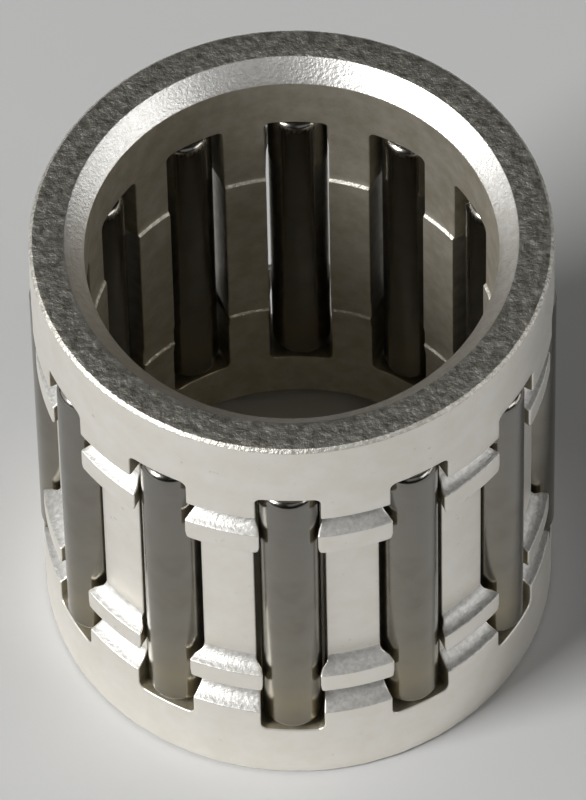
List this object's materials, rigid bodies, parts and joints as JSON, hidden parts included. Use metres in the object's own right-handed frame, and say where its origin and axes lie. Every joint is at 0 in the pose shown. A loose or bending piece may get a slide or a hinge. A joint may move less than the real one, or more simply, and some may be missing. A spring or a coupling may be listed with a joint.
{
  "type": "needle roller bearing",
  "caption": "Needle roller and cage assembly with a one-piece silver-plated cage, windows with staked ridges, and loose polished rollers that turn.",
  "frame": {"origin": "on the bearing's axis, in the plane of the cage's bottom end face", "axes": "+Z along the bearing's axis, up to the top end face; the first needle roller is at -Y"},
  "size_m": [0.013, 0.013, 0.014],
  "materials": {
    "silver_plated_cage": "silver-plated steel, satin, lightly tarnished",
    "roller_steel": "ground and polished bearing steel"
  },
  "bodies": {
    "cage": {"cage": "silver_plated_cage"},
    "roller_01": {"needle_roller_01": "roller_steel"},
    "roller_02": {"needle_roller_02": "roller_steel"},
    "roller_03": {"needle_roller_03": "roller_steel"},
    "roller_04": {"needle_roller_04": "roller_steel"},
    "roller_05": {"needle_roller_05": "roller_steel"},
    "roller_06": {"needle_roller_06": "roller_steel"},
    "roller_07": {"needle_roller_07": "roller_steel"},
    "roller_08": {"needle_roller_08": "roller_steel"},
    "roller_09": {"needle_roller_09": "roller_steel"},
    "roller_10": {"needle_roller_10": "roller_steel"},
    "roller_11": {"needle_roller_11": "roller_steel"},
    "roller_12": {"needle_roller_12": "roller_steel"}
  },
  "joints": [
    {"name": "roller_01_spin", "type": "hinge", "parent": "cage", "child": "roller_01", "pos_m": [0, -0.00575, 0.00692], "axis": [0, 0, 1], "continuous": true},
    {"name": "roller_02_spin", "type": "hinge", "parent": "cage", "child": "roller_02", "pos_m": [0.00287, -0.00498, 0.00692], "axis": [0, 0, 1], "continuous": true},
    {"name": "roller_03_spin", "type": "hinge", "parent": "cage", "child": "roller_03", "pos_m": [0.00498, -0.00287, 0.00692], "axis": [0, 0, 1], "continuous": true},
    {"name": "roller_04_spin", "type": "hinge", "parent": "cage", "child": "roller_04", "pos_m": [0.00575, 0, 0.00692], "axis": [0, 0, 1], "continuous": true},
    {"name": "roller_05_spin", "type": "hinge", "parent": "cage", "child": "roller_05", "pos_m": [0.00498, 0.00287, 0.00692], "axis": [0, 0, 1], "continuous": true},
    {"name": "roller_06_spin", "type": "hinge", "parent": "cage", "child": "roller_06", "pos_m": [0.00287, 0.00498, 0.00692], "axis": [0, 0, 1], "continuous": true},
    {"name": "roller_07_spin", "type": "hinge", "parent": "cage", "child": "roller_07", "pos_m": [0, 0.00575, 0.00692], "axis": [0, 0, 1], "continuous": true},
    {"name": "roller_08_spin", "type": "hinge", "parent": "cage", "child": "roller_08", "pos_m": [-0.00287, 0.00498, 0.00692], "axis": [0, 0, 1], "continuous": true},
    {"name": "roller_09_spin", "type": "hinge", "parent": "cage", "child": "roller_09", "pos_m": [-0.00498, 0.00287, 0.00692], "axis": [0, 0, 1], "continuous": true},
    {"name": "roller_10_spin", "type": "hinge", "parent": "cage", "child": "roller_10", "pos_m": [-0.00575, 0, 0.00692], "axis": [0, 0, 1], "continuous": true},
    {"name": "roller_11_spin", "type": "hinge", "parent": "cage", "child": "roller_11", "pos_m": [-0.00498, -0.00287, 0.00692], "axis": [0, 0, 1], "continuous": true},
    {"name": "roller_12_spin", "type": "hinge", "parent": "cage", "child": "roller_12", "pos_m": [-0.00287, -0.00498, 0.00692], "axis": [0, 0, 1], "continuous": true}
  ]
}
